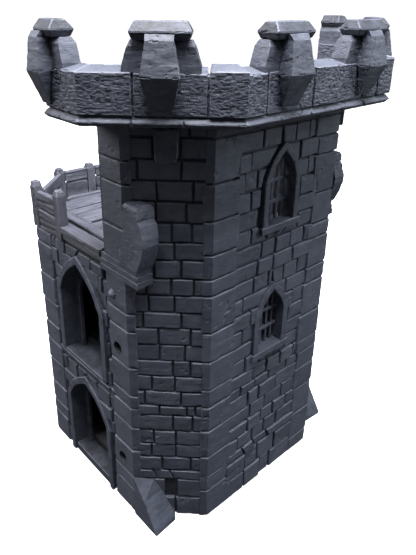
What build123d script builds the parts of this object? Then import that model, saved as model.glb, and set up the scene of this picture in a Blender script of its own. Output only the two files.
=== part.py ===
from build123d import *
import math
import os

# Dice tower in the shape of a ruined castle gatehouse. Millimetres, +Z up.
# The origin is the centre of the octagonal base on the table. The arched
# facade faces -Y, the tall half tower stands on the +X side, and the lower
# storeys with the plank deck fill the -X side.

# ---------------------------------------------------------------- dimensions
HALF = 62.25              # centre to a main face of the octagon, at the quoins
SIDE = 37.75              # half length of a main face
MORTAR = 2.0              # depth of the mortar plane behind the quoin face
BRICK = 1.0               # depth of the brick faces behind the quoin face
WALL = 9.0                # quoin face to inner wall face
JOINT = 0.8               # width of a mortar joint
QUOIN_MAIN = 14.5         # quoin reach along a main face
QUOIN_CHAMFER = 4.2       # quoin reach along a chamfer face

STOREY_1 = 63.0           # top of the ground storey
STOREY_2 = 126.5          # top of the upper storey and underside of the deck
TOWER_TOP = 188.0         # top of the half tower
CUT_X = 21.0              # back plane of the half tower and of the crown
BACK_WALL = 6.0           # thickness of the tower's flat back wall

COURSES = (0, 11.5, 22.5, 28, 36, 43.5, 51.5, 60, 65.5, 73, 81, 89, 97, 105,
           112.5, 120.5, 126.5, 136, 143.5, 151.5, 160, 168, 176, 184, 188)
BRICK_LENGTH = 10.4

ARCH_OUT = 20.0           # half width over the arch frame
ARCH_IN = 16.75           # half width of the arch opening
ARCH_THROAT = 12.2        # half width of the inner step of the arch
ARCH_STEP = 6.8           # depth of the inner step behind the quoin face
LOWER_SPRING = 38.0
LOWER_APEX = 57.5
UPPER_SILL = 62.0
UPPER_SPRING = 101.0
UPPER_APEX = 124.0

SOCKET_R = 2.75           # round sockets in the quoins beside the arches
SOCKET_DEPTH = 6.0
SOCKET_X = 29.7
SOCKET_Z = (29.8, 91.2)

WINDOW_OUT = 11.2         # half width over a window frame
WINDOW_IN = 8.0           # half width of a window opening
# Each window: sill height, sideways shift, spring line and opening apex above the sill.
WINDOWS = {"lower": (80.5, 0.0, 19.0, 30.0), "upper": (142.7, 1.3, 19.2, 30.8)}
LATTICE_BAR = 1.4

CROWN_HALF = 80.15        # centre to the crown's main faces
CROWN_SIDE = 41.95        # half length of the crown's main faces
CROWN_LIP_Z = 192.2
PARAPET_Z0 = 193.9
PARAPET_Z1 = 207.6
PARAPET_T = 7.4
PARAPET_SLOPE = 1.6       # rise of the parapet's top from its front to its back
MERLON_TOP = 217.3
MERLON_STEP = 22.3        # merlon offset from the middle of a main face
CAP_TOP = 222.7

FLOOR_T = 4.0             # ground slab thickness
RAMP_T = 3.0              # thickness of the dice ramps
DECK_Z = 131.0            # walking surface of the deck

os.makedirs("parts", exist_ok=True)


# ------------------------------------------------------------------- helpers
def octagon(half, side):
    """Corner points of an octagon with main faces at distance half."""
    return [(half, -side), (half, side), (side, half), (-side, half),
            (-half, side), (-half, -side), (-side, -half), (side, -half)]


def inset(depth):
    """The wall octagon moved inward by depth on every face."""
    return octagon(HALF - depth, SIDE - depth * math.tan(math.pi / 8))


def plate(points, z0, z1):
    """A flat plate with the given outline between two heights."""
    face = make_face(Polyline(*points, close=True))
    return extrude(face, amount=z1 - z0, dir=(0, 0, 1)).moved(Location((0, 0, z0)))


def block(x0, x1, y0, y1, z0, z1):
    """A rectangular block from its limits."""
    size = (x1 - x0, y1 - y0, z1 - z0)
    centre = ((x0 + x1) / 2, (y0 + y1) / 2, (z0 + z1) / 2)
    return Box(*size).moved(Location(centre))


def face_frame(index, half=HALF, side=SIDE):
    """Centre, tangent and outward normal of octagon face number index.

    Face 0 looks along +X, and the numbers run counterclockwise in 45 degree
    steps, so face 6 is the facade and face 7 the chamfer beside it."""
    angle = index * math.pi / 4
    normal = (math.cos(angle), math.sin(angle))
    reach = half if index % 2 == 0 else (half + side) / math.sqrt(2)
    centre = (normal[0] * reach, normal[1] * reach)
    return centre, (-normal[1], normal[0]), normal


def on_face(index, u, w, half=HALF, side=SIDE):
    """Plan position u along a face and w outward from it."""
    centre, tangent, normal = face_frame(index, half, side)
    return (centre[0] + tangent[0] * u + normal[0] * w,
            centre[1] + tangent[1] * u + normal[1] * w)


def face_plane(index, w=0.0, half=HALF, side=SIDE):
    """Upright sketch plane on a face: local x along it, local y up."""
    centre, tangent, normal = face_frame(index, half, side)
    origin = (centre[0] + normal[0] * w, centre[1] + normal[1] * w, 0)
    return Plane(origin=origin, x_dir=(tangent[0], tangent[1], 0),
                 z_dir=(normal[0], normal[1], 0))


def face_box(index, u0, u1, w0, w1, z0, z1, half=HALF, side=SIDE):
    """A block standing on a face, given in that face's own directions."""
    points = [on_face(index, u, w, half, side)
              for u, w in ((u0, w0), (u1, w0), (u1, w1), (u0, w1))]
    return plate(points, z0, z1)


def upright(index, outline, w0, w1, half=HALF, side=SIDE):
    """An outline drawn on a face and extruded from depth w0 out to w1."""
    plane = face_plane(index, w0, half, side)
    points = [plane.from_local_coords((u, z, 0)) for u, z in outline]
    face = make_face(Polyline(*points, close=True))
    normal = face_frame(index, half, side)[2]
    return extrude(face, amount=w1 - w0, dir=(normal[0], normal[1], 0))


def pointed_arch(half, base, spring, apex, steps=7):
    """Outline of a pointed arch opening with gently bowed haunches."""
    right = []
    for i in range(steps + 1):
        t = i / steps
        bow = 0.13 * half * math.sin(math.pi * t)
        right.append((half * (1 - t) + bow, spring + (apex - spring) * t + bow * 0.55))
    left = [(-u, z) for u, z in reversed(right[:-1])]
    return [(half, base)] + right + left + [(-half, base)]


def hull_between(lower, upper, z0, z1):
    """A straight-sided solid between two outlines with the same corners."""
    a = make_face(Polyline(*[(x, y, z0) for x, y in lower], close=True))
    b = make_face(Polyline(*[(x, y, z1) for x, y in upper], close=True))
    return loft([a, b], ruled=True)


def half_plan(half, side, back=CUT_X):
    """Octagon outline cut off at the back plane of the tower."""
    return [(back, -half), (side, -half), (half, -side),
            (half, side), (side, half), (back, half)]


def save(name, shape):
    """Write one sub-part."""
    export_step(shape, f"parts/{name}.step")


# ------------------------------------------------------- walls with brickwork
def brick_spans(index, course, u0, u1):
    """Brick end positions along one course, staggered from row to row."""
    phase = (course * 0.47 + index * 0.21) % 1.0
    spans = []
    u = u0 - BRICK_LENGTH * phase
    count = 0
    while u < u1:
        wobble = math.sin(3.1 * course + 2.3 * count + 1.7 * index)
        nxt = u + BRICK_LENGTH * (1 + 0.22 * wobble)
        a = max(u + JOINT / 2, u0)
        b = min(nxt - JOINT / 2, u1)
        if b - a > 2.0:
            spans.append((a, b))
        u = nxt
        count += 1
    return spans


def brick_reach(index):
    """Half length of the brickwork between the quoins of a face."""
    if index % 2 == 0:
        return SIDE - QUOIN_MAIN
    return (HALF - SIDE) / math.sqrt(2) - QUOIN_CHAMFER


def brick_layer(outline, faces, z0, z1, course):
    """One course of bricks, standing out of the wall block."""
    section = make_face(Polyline(*outline, close=True))
    bricks = []
    for index in faces:
        reach = brick_reach(index)
        for a, b in brick_spans(index, course, -reach, reach):
            corners = [on_face(index, a, -MORTAR - 0.5), on_face(index, b, -MORTAR - 0.5),
                       on_face(index, b, -BRICK), on_face(index, a, -BRICK)]
            bricks.append(make_face(Polyline(*corners, close=True)))
    section = section + bricks
    gap = JOINT / 2
    stones = extrude(section, amount=z1 - z0 - 2 * gap, dir=(0, 0, 1))
    return stones.moved(Location((0, 0, z0 + gap)))


def storey(outline, faces, z0, z1):
    """A solid storey block with courses of bricks on the given faces."""
    shape = plate(outline, z0, z1)
    layers = []
    for number, low in enumerate(COURSES[:-1]):
        high = COURSES[number + 1]
        a, b = max(low, z0), min(high, z1)
        if b - a > 2.5:
            layers.append(brick_layer(outline, faces, a, b, number))
    return shape + layers


ALL_FACES = range(8)
TOWER_FACES = (7, 0, 1)

outer = inset(MORTAR)
inner = inset(WALL)
ground = storey(outer, ALL_FACES, 0, STOREY_1) - plate(inner, 0, STOREY_1)
upper = storey(outer, ALL_FACES, STOREY_1, STOREY_2) - plate(inner, STOREY_1, STOREY_2)

tower_outer = half_plan(HALF - MORTAR, SIDE - MORTAR * math.tan(math.pi / 8))
tower_inner = half_plan(HALF - WALL, SIDE - WALL * math.tan(math.pi / 8), CUT_X + BACK_WALL)
tower = storey(tower_outer, TOWER_FACES, STOREY_2, TOWER_TOP)
tower = tower - plate(tower_inner, STOREY_2, TOWER_TOP)

# Arch openings in the facade and window openings in the +X face.
lower_outline = pointed_arch(ARCH_OUT, 0, LOWER_SPRING, LOWER_APEX + 1.0)
upper_outline = pointed_arch(ARCH_OUT, UPPER_SILL - 2.0, UPPER_SPRING, UPPER_APEX)
ground -= upright(6, lower_outline, -WALL - 1, 1)
ground -= upright(6, upper_outline, -WALL - 1, 1)
upper -= upright(6, upper_outline, -WALL - 1, 1)


def window_outline(name, margin):
    """Window outline, margin wider than the opening all round."""
    sill, shift, spring, rise = WINDOWS[name]
    outline = pointed_arch(WINDOW_IN + margin, sill - margin * 0.8, sill + spring,
                           sill + rise + margin * 1.2)
    return [(u + shift, z) for u, z in outline]


FRAME_MARGIN = WINDOW_OUT - WINDOW_IN
upper -= upright(0, window_outline("lower", FRAME_MARGIN), -WALL - 1, 1)
tower -= upright(0, window_outline("upper", FRAME_MARGIN), -WALL - 1, 1)

# --------------------------------------------------------------------- quoins
QUOIN_JOINTS = {
    0: (0, 9, 25.5, 42, 55, 65, 73, 87, 104.5, 113, 128, 136, 150, 168, 176, 188),
    1: (0, 17, 25, 37.5, 52.5, 66, 75.5, 89.5, 104, 121, 128.5, 139, 153, 168, 184, 188),
    2: (0, 15, 23, 39, 52.5, 63, 70.5, 85, 103, 111.5, 126.5, 148, 166, 175, 188),
    3: (0, 15, 22.5, 35, 50.5, 63.5, 74.5, 88, 102.5, 119.5, 126.5),
}


def quoin_profile(corner, back, front):
    """Plan of a quoin column that wraps one octagon corner.

    Corner n lies between face n - 1 and face n."""
    first, second = corner - 1, corner
    reach_a = QUOIN_MAIN if first % 2 == 0 else QUOIN_CHAMFER
    reach_b = QUOIN_MAIN if second % 2 == 0 else QUOIN_CHAMFER
    half_a = SIDE if first % 2 == 0 else (HALF - SIDE) / math.sqrt(2)
    half_b = SIDE if second % 2 == 0 else (HALF - SIDE) / math.sqrt(2)
    slope = math.tan(math.pi / 8)
    return [on_face(first, half_a - reach_a, front),
            on_face(first, half_a + front * slope, front),
            on_face(second, reach_b - half_b, front),
            on_face(second, reach_b - half_b, back),
            on_face(first, half_a + back * slope, back),
            on_face(first, half_a - reach_a, back)]


def quoin_column(corner, joints, z0, z1):
    """Stacked corner stones with recessed bed joints, one solid."""
    shape = plate(quoin_profile(corner, -MORTAR, -0.9), z0, z1)
    stones = []
    for low, high in zip(joints[:-1], joints[1:]):
        a, b = max(low + JOINT / 2, z0), min(high - JOINT / 2, z1)
        if b - a > 1.5:
            stones.append(plate(quoin_profile(corner, -MORTAR, 0), a, b))
    return shape + stones


# Two round blind sockets are bored through the quoins into the facade wall.
SOCKETS = []
for z in SOCKET_Z:
    plane = face_plane(6, 1.0)
    centre = plane.from_local_coords((SOCKET_X, z, 0))
    drill = Cylinder(SOCKET_R, SOCKET_DEPTH + 1.0, align=(Align.CENTER, Align.CENTER, Align.MIN))
    SOCKETS.append(Plane(origin=centre, z_dir=(0, 1, 0)) * drill)

# Corner n is between faces n - 1 and n. Corners 0, 1, 7 and 2 reach to the crown.
COLUMNS = {
    "quoins_facade_right": (7, QUOIN_JOINTS[2], TOWER_TOP),
    "quoins_front_left": (0, QUOIN_JOINTS[1], TOWER_TOP),
    "quoins_front_right": (1, QUOIN_JOINTS[0], TOWER_TOP),
    "quoins_rear_right": (2, QUOIN_JOINTS[2], TOWER_TOP),
    "quoins_rear_left": (3, QUOIN_JOINTS[3], STOREY_2),
    "quoins_annex_rear": (4, QUOIN_JOINTS[0], STOREY_2),
    "quoins_annex_front": (5, QUOIN_JOINTS[1], STOREY_2),
    "quoins_facade_left": (6, QUOIN_JOINTS[3], STOREY_2),
}
quoins = {}
for name, (corner, joints, top) in COLUMNS.items():
    quoins[name] = quoin_column(corner, joints, 0, top)
quoins["quoins_facade_right"] -= SOCKETS
ground -= SOCKETS[0]
upper -= SOCKETS[1]
save("ground_storey_walls", ground)
save("upper_storey_walls", upper)
save("half_tower_walls", tower)

# ------------------------------------------------------- broken side features
# The facade wall once ran on past its tower corners. What is left on each
# side is a ledge, a broken upright stub on it, and a buttress foot.
RUIN_T = 7.0              # thickness of the broken wall
LEDGE_Z0 = 126.8
LEDGE_Z1 = 134.0
LEDGE_REACH = 8.5         # ledge length past the tower corner
STUB_TOP = 160.0
STUB_PROUD = 0.8          # how far it stands out from the corner stones
STUB_BEVEL = 0.7          # bevel round its top
# Height, near edge and far edge of the stub, from the tower corner.
STUB_LEVELS = ((LEDGE_Z1, -2.1, 9.4), (140.7, -1.4, 12.4), (145.4, 0.8, 13.7),
               (148.5, 1.0, 13.7), (153.5, 1.4, 12.2), (155.4, 1.6, 10.6),
               (155.8, 1.7, 11.3), (158.8, 2.0, 10.9), (STUB_TOP, 2.2, 10.8))
FOOT_TOP = 23.4


def polyhedron(points, faces):
    """A solid from corner points and lists of corner numbers."""
    skins = [Face(Wire.make_polygon([points[i] for i in loop], close=True)) for loop in faces]
    return Solid(Shell(skins))


def ruin_point(side, along, inward, z):
    """A point by its distance past the tower corner and in from the face."""
    return (SIDE + along, side * (HALF - inward), z)


def ruin_plan(side, corners):
    """Outline of a ruin piece, side -1 at the facade and 1 at the rear."""
    return [ruin_point(side, along, inward, 0)[:2] for along, inward in corners]


def wedge_foot(side):
    """A faceted buttress foot: sloped, with a blunt broken toe."""
    spots = ((0, 0, 0), (16.8, 0, 0), (15.7, 12.2, 0), (14.0, 13.6, 0),
             (0, 0, FOOT_TOP), (6.6, 7.0, FOOT_TOP - 0.6), (9.0, 9.4, 16.3),
             (15.7, 12.2, 3.0), (14.0, 13.6, 3.4), (8.2, 0.0, 14.0), (16.4, 0, 1.2))
    points = [ruin_point(side, *spot) for spot in spots]
    faces = ((0, 1, 2, 3), (0, 1, 10, 9, 4), (4, 9, 5), (9, 6, 5), (9, 10, 6), (10, 7, 6),
             (1, 2, 7), (1, 7, 10), (2, 3, 8, 7), (6, 7, 8), (0, 3, 8), (0, 8, 6), (0, 6, 5),
             (0, 5, 4))
    return polyhedron(points, faces)


def wall_stub(side):
    """The broken upright slab that stands on the ledge."""
    shape = None
    for low, high in zip(STUB_LEVELS[:-1], STUB_LEVELS[1:]):
        plans = []
        for z, start, reach in (low, high):
            chip = STUB_BEVEL if z == STUB_TOP else 0.0
            front = chip - STUB_PROUD
            back = RUIN_T - chip
            plans.append(ruin_plan(side, ((start, front), (reach - chip, front),
                                          (reach - chip, back), (3.4, back), (start, 3.2))))
        piece = hull_between(*plans, low[0], high[0])
        shape = piece if shape is None else shape + piece
    return shape


def ledge(side):
    """String-course ledge in three steps along the facade's end."""
    shape = None
    for z0, z1, out in ((LEDGE_Z0, 129.2, 0.9), (129.2, 131.6, 0.5), (131.6, LEDGE_Z1, 0.1)):
        plan = ruin_plan(side, ((-16.0, MORTAR), (-16.0, -out), (LEDGE_REACH + out, -out),
                                (LEDGE_REACH + out, RUIN_T), (2.0, RUIN_T), (-1.0, MORTAR)))
        piece = plate(plan, z0, z1)
        shape = piece if shape is None else shape + piece
    return shape


for side, tag, column in ((-1, "facade", "quoins_facade_right"),
                          (1, "rear", "quoins_rear_right")):
    shelf = ledge(side) - tower - upper
    quoins[column] = quoins[column] - shelf
    save(f"ledge_{tag}", shelf)
    save(f"wall_stub_{tag}", wall_stub(side) - tower - quoins[column])
    save(f"wedge_foot_{tag}", wedge_foot(side) - ground - quoins[column])
for name, shape in quoins.items():
    save(name, shape)


# ------------------------------------------------- arch frames, windows, doors
def arch_frame(base, spring, apex, outline):
    """Raised pointed trim with a narrower inner step behind it."""
    opening = pointed_arch(ARCH_IN, base - 1, spring, apex - 4.5)
    throat = pointed_arch(ARCH_THROAT, base - 1, spring - 1.0, apex - 10.0)
    shape = upright(6, outline, -ARCH_STEP, 0.5) - upright(6, opening, -ARCH_STEP - 1, 2)
    step = upright(6, outline, -WALL, -ARCH_STEP) - upright(6, throat, -WALL - 1, -ARCH_STEP + 1)
    return shape + step


upper_frame_outline = pointed_arch(ARCH_OUT, UPPER_SILL + 5.0, UPPER_SPRING, UPPER_APEX)
save("lower_arch_frame", arch_frame(0, LOWER_SPRING, LOWER_APEX + 1.0, lower_outline))
save("upper_arch_frame", arch_frame(UPPER_SILL + 5.0, UPPER_SPRING, UPPER_APEX,
                                    upper_frame_outline))
for name, (sill, shift, spring, rise) in WINDOWS.items():
    hole = window_outline(name, 0)
    ring = upright(0, window_outline(name, FRAME_MARGIN), -WALL, 0.3)
    ring -= upright(0, hole, -WALL - 1, 2)
    shelf = face_box(0, shift - WINDOW_OUT - 1.0, shift + WINDOW_OUT + 1.0, -1.0, 0.8,
                     sill - 3.2, sill)
    save(f"{name}_window_frame", ring + (shelf - ring))
    bars = [face_box(0, shift + u - LATTICE_BAR / 2, shift + u + LATTICE_BAR / 2, -5.6, -4.2,
                     sill, sill + rise + 2) for u in (-5.4, -1.8, 1.8, 5.4)]
    rails = [face_box(0, shift - WINDOW_IN - 1, shift + WINDOW_IN + 1, -5.9, -3.9, z, z + 1.6)
             for z in (sill + 7.5, sill + 17.0)]
    lattice = bars[0] + bars[1:] + rails
    lattice = lattice & upright(0, hole, -WALL, 0)
    save(f"{name}_window_lattice", lattice)

# ------------------------------------------------------------ floors and ramps
FLOOR_2 = 66.0            # walking surface of the upper room
STEP_TOP = 4.6            # top of the entrance step
ROOM_DEPTH_Y = -14.0      # back of the upper room

base = plate(inner, 0, FLOOR_T)
save("ground_slab", base)
step_inner = face_box(6, -ARCH_THROAT, ARCH_THROAT, -WALL, -ARCH_STEP, 0, STEP_TOP)
step_outer = face_box(6, -ARCH_IN, ARCH_IN, -ARCH_STEP, -0.6, 0, STEP_TOP)
save("entrance_step", step_inner + step_outer)

room_outline = plate(inner, FLOOR_2 - 4.0, FLOOR_2 + 60)
joists = room_outline & block(-60, 60, -60, ROOM_DEPTH_Y, FLOOR_2 - 4.0, FLOOR_2 - 2.0)
save("upper_room_joist_floor", joists)
boards = []
for count in range(5):
    y0 = -HALF + WALL + count * 7.9
    lift = 0.25 * math.sin(2.1 * count)
    boards.append(room_outline & block(-60, 60, y0 + 0.2, y0 + 7.6,
                                       FLOOR_2 - 2.0, FLOOR_2 - 0.3 + lift))
save("upper_room_floorboards", boards[0] + boards[1:])

SILL_STEP = 65.6          # height where the arch sill steps in
sill_low = face_box(6, -ARCH_OUT - 2.0, ARCH_OUT + 2.0, -MORTAR, 0.6, 63.4, SILL_STEP)
sill_high = face_box(6, -ARCH_OUT + 0.5, ARCH_OUT - 0.5, -WALL, 0.2, SILL_STEP, FLOOR_2 + 1.0)
sill_back = face_box(6, -ARCH_OUT + 0.5, ARCH_OUT - 0.5, -WALL, -MORTAR, UPPER_SILL - 2.0,
                     SILL_STEP)
sill = sill_low + sill_high + sill_back
upper_frame = arch_frame(UPPER_SILL + 5.0, UPPER_SPRING, UPPER_APEX, upper_frame_outline)
save("upper_arch_sill", sill - upper_frame - ground - upper)

room_wall = plate(inner, FLOOR_2 - 4.0, STOREY_2)
room_wall = room_wall & block(-60, 60, ROOM_DEPTH_Y, ROOM_DEPTH_Y + 3.0, FLOOR_2 - 4.0, STOREY_2)
save("upper_room_back_wall", room_wall)


def ramp(outline, axis, start, finish, z_start, z_finish, low, high):
    """A sloping plate inside an outline, falling along x or y."""
    drop = RAMP_T
    profile = [(start, z_start), (finish, z_finish), (finish, z_finish - drop),
               (start, z_start - drop)]
    if axis == "y":
        points = [(-90, y, z) for y, z in profile]
        direction = (1, 0, 0)
    else:
        points = [(x, -90, z) for x, z in profile]
        direction = (0, 1, 0)
    slope = extrude(make_face(Polyline(*points, close=True)), amount=180, dir=direction)
    return slope & plate(outline, low, high)


save("tower_ramp", ramp(tower_inner, "y", -60, 16, 178, 146, STOREY_2, TOWER_TOP))
chute = [(-60, ROOM_DEPTH_Y + 3.0), (60, ROOM_DEPTH_Y + 3.0), (60, 60), (-60, 60)]
chute_ramp = ramp(inner, "x", 60, -12, 120, 88, STOREY_1 + 5, STOREY_2)
save("chute_ramp", chute_ramp & plate(chute, STOREY_1, STOREY_2))
exit_ramp = ramp(inner, "y", 60, -HALF + WALL, 44, 8.2, FLOOR_T, STOREY_1 - 5)
save("exit_ramp", exit_ramp)

# ------------------------------------------------------------------- the deck
DECK_IN = 1.2
deck_outline = octagon(HALF - DECK_IN, SIDE - DECK_IN * math.tan(math.pi / 8))
annex_side = block(-70, CUT_X, -70, 70, 120, 150)
slab = plate(deck_outline, STOREY_2, 128.2) & annex_side
save("roof_slab", slab)

plank_inner = inset(8.6)
boards = []
edge = HALF - 16.2
count = 0
x = CUT_X - 0.3
while x > -55:
    width = 7.1 + 0.5 * math.sin(1.9 * count)
    top = DECK_Z + 0.35 * math.sin(2.7 * count)
    reach = edge + 1.3 * math.sin(2.3 * count)
    span = block(x - width + 0.7, x, -reach, reach, 128.2, top)
    boards.append(span & plate(plank_inner, 128.0, 133.0))
    x -= width
    count += 1
save("deck_boards", boards[0] + boards[1:])

# ---------------------------------------------------- the fence and its edge planks
POST = 4.6                # post thickness
FENCE_FOOT = 126.8        # lowest point of the facade fence, in front of the roof slab


def fence_post(x, y, top, lean=0.0, foot=128.2):
    """A square post with a chipped, sloping top."""
    h = POST / 2
    low = [(x - h, y - h), (x + h, y - h), (x + h, y + h), (x - h, y + h)]
    high = [(px + lean, py) for px, py in low]
    body = hull_between(low, high, foot, top - 2.5)
    tip = [(x + lean + (px - x) * 0.72, y + (py - y) * 0.72) for px, py in low]
    return body + hull_between(high, tip, top - 2.5, top)


def rail(index, u0, u1, w0, w1, z0, z1, tilt=0.0):
    """A fence board on a face, tilted by raising its far end."""
    outline = [(u0, z0), (u1, z0 + tilt), (u1, z1 + tilt * 0.4), (u0, z1)]
    return upright(index, outline, w0, w1)


front_posts = [fence_post(-13.4, -60.3, 150.6, -0.7, FENCE_FOOT) - slab,
               fence_post(-36.0, -60.0, 149.5, -1.0, FENCE_FOOT) - slab]
side_posts = [fence_post(-58.6, -36.0, 146.0), fence_post(-59.3, -17.0, 145.2, -0.8),
              fence_post(-59.3, 17.0, 146.0, 0.5), fence_post(-58.6, 36.0, 147.0)]
rear_posts = [fence_post(-36.0, 60.0, 149.5, -0.6), fence_post(-10.0, 60.0, 150.0, 0.5),
              fence_post(17.0, 60.0, 148.0)]
posts = front_posts + side_posts + rear_posts
save("fence_posts", posts[0] + posts[1:])

for side, tag in ((-1, "facade"), (1, "rear")):
    left = -14.5 if side < 0 else -36.0
    beam = block(left, CUT_X - 0.3, 0, 6.0, 128.2, 131.0)
    front = block(left, CUT_X - 0.6, 0, 6.2, 131.0, 134.2)
    second = block(-37.0, CUT_X - 0.3, 8.4, 13.9, 128.2, 134.4)
    planks = []
    for piece, start in ((beam, HALF - 0.4), (front, HALF + 0.3), (second, HALF + 0.3)):
        shape = piece.moved(Location((0, -start, 0)))
        planks.append(shape if side < 0 else mirror(shape, Plane.XZ))
    save(f"edge_planks_{tag}", planks[0] + planks[1:] - posts)

front_boards = [rail(6, -33.2, -16.2, -3.2, -0.4, FENCE_FOOT, 136.8) - slab,
                rail(6, -33.2, -16.2, -3.0, -0.2, 137.2, 145.6, 1.2)]
save("fence_boards_facade", front_boards[0] + front_boards[1:] - posts)
chamfer_boards = [rail(5, -13.2, 13.2, -5.6, -3.0, 128.2, 137.0),
                  rail(5, -13.2, 13.2, -5.6, -3.0, 137.6, 143.4, 2.0)]
save("fence_boards_chamfer", chamfer_boards[0] + chamfer_boards[1:] - posts)
BOARD_ROWS = ((128.2, 137.2), (137.8, 143.5))
back_boards = [rail(4, u0, u1, -4.7, -2.1, z0, z1) for z0, z1 in BOARD_ROWS
               for u0, u1 in ((-32.8, -19.8), (-14.0, 14.0), (19.8, 32.8))]
save("fence_boards_annex", back_boards[0] + back_boards[1:] - posts)
rear_chamfer = [rail(3, -13.2, 13.2, -5.6, -3.0, 128.2, 137.2),
                rail(3, -13.2, 13.2, -5.6, -3.0, 137.8, 143.5, 0.6)]
rear_boards = [rail(2, u0, u1, -3.6, -1.0, z0, z0 + 6.2) for z0 in (134.4, 141.4)
               for u0, u1 in ((12.8, 33.2), (-14.2, 7.2))]
save("fence_boards_rear", rear_chamfer[0] + rear_chamfer[1:] + rear_boards - posts)

# ------------------------------------------------------------------ the crown
CROWN_SLAB_Z = 190.6


def crown_inset(depth, back=CUT_X):
    """The crown outline moved inward by depth, cut at the back plane."""
    return half_plan(CROWN_HALF - depth, CROWN_SIDE - depth * math.tan(math.pi / 8), back)


crown_slab = hull_between(crown_inset(17.4), crown_inset(3.0), TOWER_TOP, CROWN_SLAB_Z)
crown_slab = crown_slab - plate(tower_inner, TOWER_TOP, CROWN_SLAB_Z)
save("crown_slab", crown_slab)
lip_low = hull_between(crown_inset(0.8), crown_inset(-1.0), CROWN_SLAB_Z, CROWN_LIP_Z)
lip_high = hull_between(crown_inset(-1.0), crown_inset(0.8), CROWN_LIP_Z, PARAPET_Z0)
funnel_hole = plate(crown_inset(PARAPET_T, CUT_X - 1), CROWN_SLAB_Z, 200)
moulding = lip_low + lip_high - funnel_hole
LIP_JOINTS = {7: (-9.7, 7.0), 1: (-7.0, 9.7), 0: (-25.8, -9.4, 8.6, 23.7),
              6: (31.0,), 2: (-31.0,)}
for index, joints in LIP_JOINTS.items():
    for u in joints:
        moulding -= face_box(index, u - 0.3, u + 0.3, 0.0, 2.0, CROWN_SLAB_Z - 1, 196,
                             CROWN_HALF, CROWN_SIDE)
save("crown_moulding", moulding)

funnel = plate(crown_inset(PARAPET_T), CROWN_SLAB_Z, 196.5)
mouth = crown_inset(PARAPET_T + 0.6, CUT_X + 2.5)
funnel = funnel - hull_between(tower_inner, mouth, CROWN_SLAB_Z, 196.5)
save("crown_funnel", funnel)

# Parapet stones: face, stone ends, how far each stands proud and up.
PARAPETS = {
    "parapet_front_left": (7, (-27, -9.1, 14.7, 27), ((0.3, 0.2), (0, 0), (0.7, 0.9))),
    "parapet_front_right": (1, (-27, -14.7, 9.1, 27), ((0.7, 0.9), (0, 0), (0.3, 0.2))),
    "parapet_front": (0, (-41.9, -32.7, -8.4, 8.6, 23.0, 32.7, 41.9),
                      ((0.2, 0), (0, 0.2), (0.4, 0.2), (0, 0), (0.2, 0.2), (0.6, 0.6))),
    "parapet_facade": (6, (CUT_X, 33.0, 41.9), ((0, 0), (0.3, 0.3))),
    "parapet_rear": (2, (-41.9, -33.0, -CUT_X), ((0.3, 0.3), (0, 0))),
}


def mitre_zone(index):
    """The wedge of plan that belongs to one crown face."""
    half = CROWN_SIDE if index % 2 == 0 else (CROWN_HALF - CROWN_SIDE) / math.sqrt(2)
    deep = 12.0
    shrink = deep * math.tan(math.pi / 8)
    grow = 2.0 * math.tan(math.pi / 8)
    corners = ((-half - grow, 2), (half + grow, 2), (half - shrink, -deep),
               (-half + shrink, -deep))
    return [on_face(index, u, w, CROWN_HALF, CROWN_SIDE) for u, w in corners]


def span_plan(index, u0, u1, front, back):
    """Rectangle on a crown face from its ends and its front and back offsets."""
    corners = ((u0, front), (u1, front), (u1, back), (u0, back))
    return [on_face(index, u, w, CROWN_HALF, CROWN_SIDE) for u, w in corners]


def parapet_slope(index, u0, u1, front, z):
    """The wedge on a parapet stone whose top rises towards the inside."""
    tangent = face_frame(index, CROWN_HALF, CROWN_SIDE)[1]
    profile = ((front, z), (-PARAPET_T, z), (-PARAPET_T, z + PARAPET_SLOPE))
    points = [on_face(index, u0, w, CROWN_HALF, CROWN_SIDE) + (height,)
              for w, height in profile]
    face = make_face(Polyline(*points, close=True))
    return extrude(face, amount=u1 - u0, dir=(tangent[0], tangent[1], 0))


parapet = {}
front_of_cut = block(CUT_X, 100, -100, 100, 180, 230)
for name, (index, ends, offsets) in PARAPETS.items():
    zone = plate(mitre_zone(index), 190, 215) & front_of_cut
    core = face_box(index, -60, 60, -PARAPET_T, -1.0, PARAPET_Z0, PARAPET_Z1 - 0.6,
                    CROWN_HALF, CROWN_SIDE)
    stones = []
    for number, (proud, up) in enumerate(offsets):
        first = number == 0
        last = number == len(offsets) - 1
        u0 = ends[number] - 10 if first else ends[number] + 0.4
        u1 = ends[number + 1] + 10 if last else ends[number + 1] - 0.4
        bed = PARAPET_Z0 + 0.6
        top = PARAPET_Z1 + up
        foot = span_plan(index, u0, u1, proud, -PARAPET_T)
        stones.append(plate(foot, bed, top) + parapet_slope(index, u0, u1, proud, top))
    parapet[index] = (core + stones) & zone
    save(name, parapet[index])


def stack(index, centre, levels):
    """Straight-sided solid through (z, half width, front, back) levels."""
    shape = None
    for (z0, h0, f0, b0), (z1, h1, f1, b1) in zip(levels[:-1], levels[1:]):
        piece = hull_between(span_plan(index, centre - h0, centre + h0, f0, b0),
                             span_plan(index, centre - h1, centre + h1, f1, b1), z0, z1)
        shape = piece if shape is None else shape + piece
    return shape


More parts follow.
